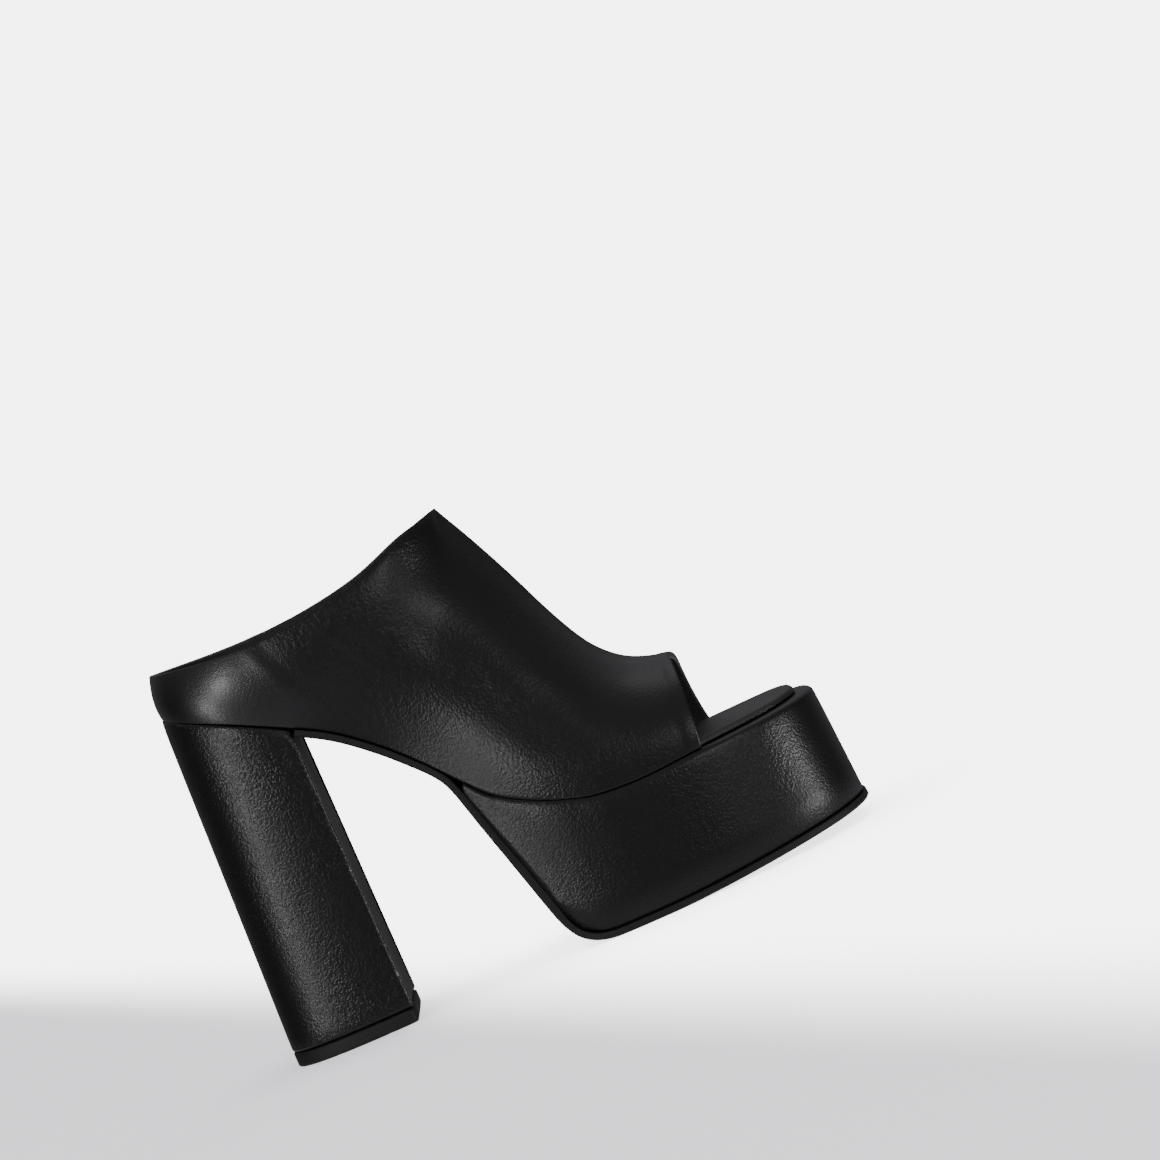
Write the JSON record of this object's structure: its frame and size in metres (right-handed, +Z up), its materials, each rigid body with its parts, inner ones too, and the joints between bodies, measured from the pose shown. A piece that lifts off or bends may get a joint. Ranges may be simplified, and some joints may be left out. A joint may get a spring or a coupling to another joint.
{
  "type": "platform mule",
  "caption": "Open-toe platform mule with a high covered block heel, a closed vamp with a peaked throat, a low counter and a thick leather-wrapped platform.",
  "frame": {"origin": "middle of the heel's top piece, on the floor", "axes": "+X from the heel to the toe, +Y to the inner side of the foot, +Z up"},
  "size_m": [0.2277, 0.0862, 0.1635],
  "materials": {
    "upper_leather": "soft tumbled grain, satin",
    "platform_leather": "soft tumbled grain, satin",
    "heel_leather": "soft tumbled grain, satin",
    "breast_leather": "smooth, satin",
    "insole_leather": "smooth, matt",
    "outsole_rubber": "matt",
    "top_piece_rubber": "matt"
  },
  "bodies": {
    "root": {"outsole": "outsole_rubber", "platform": "platform_leather", "heel": "heel_leather", "heel_breast": "breast_leather", "top_piece": "top_piece_rubber", "insole": "insole_leather", "upper": "upper_leather"}
  },
  "joints": []
}
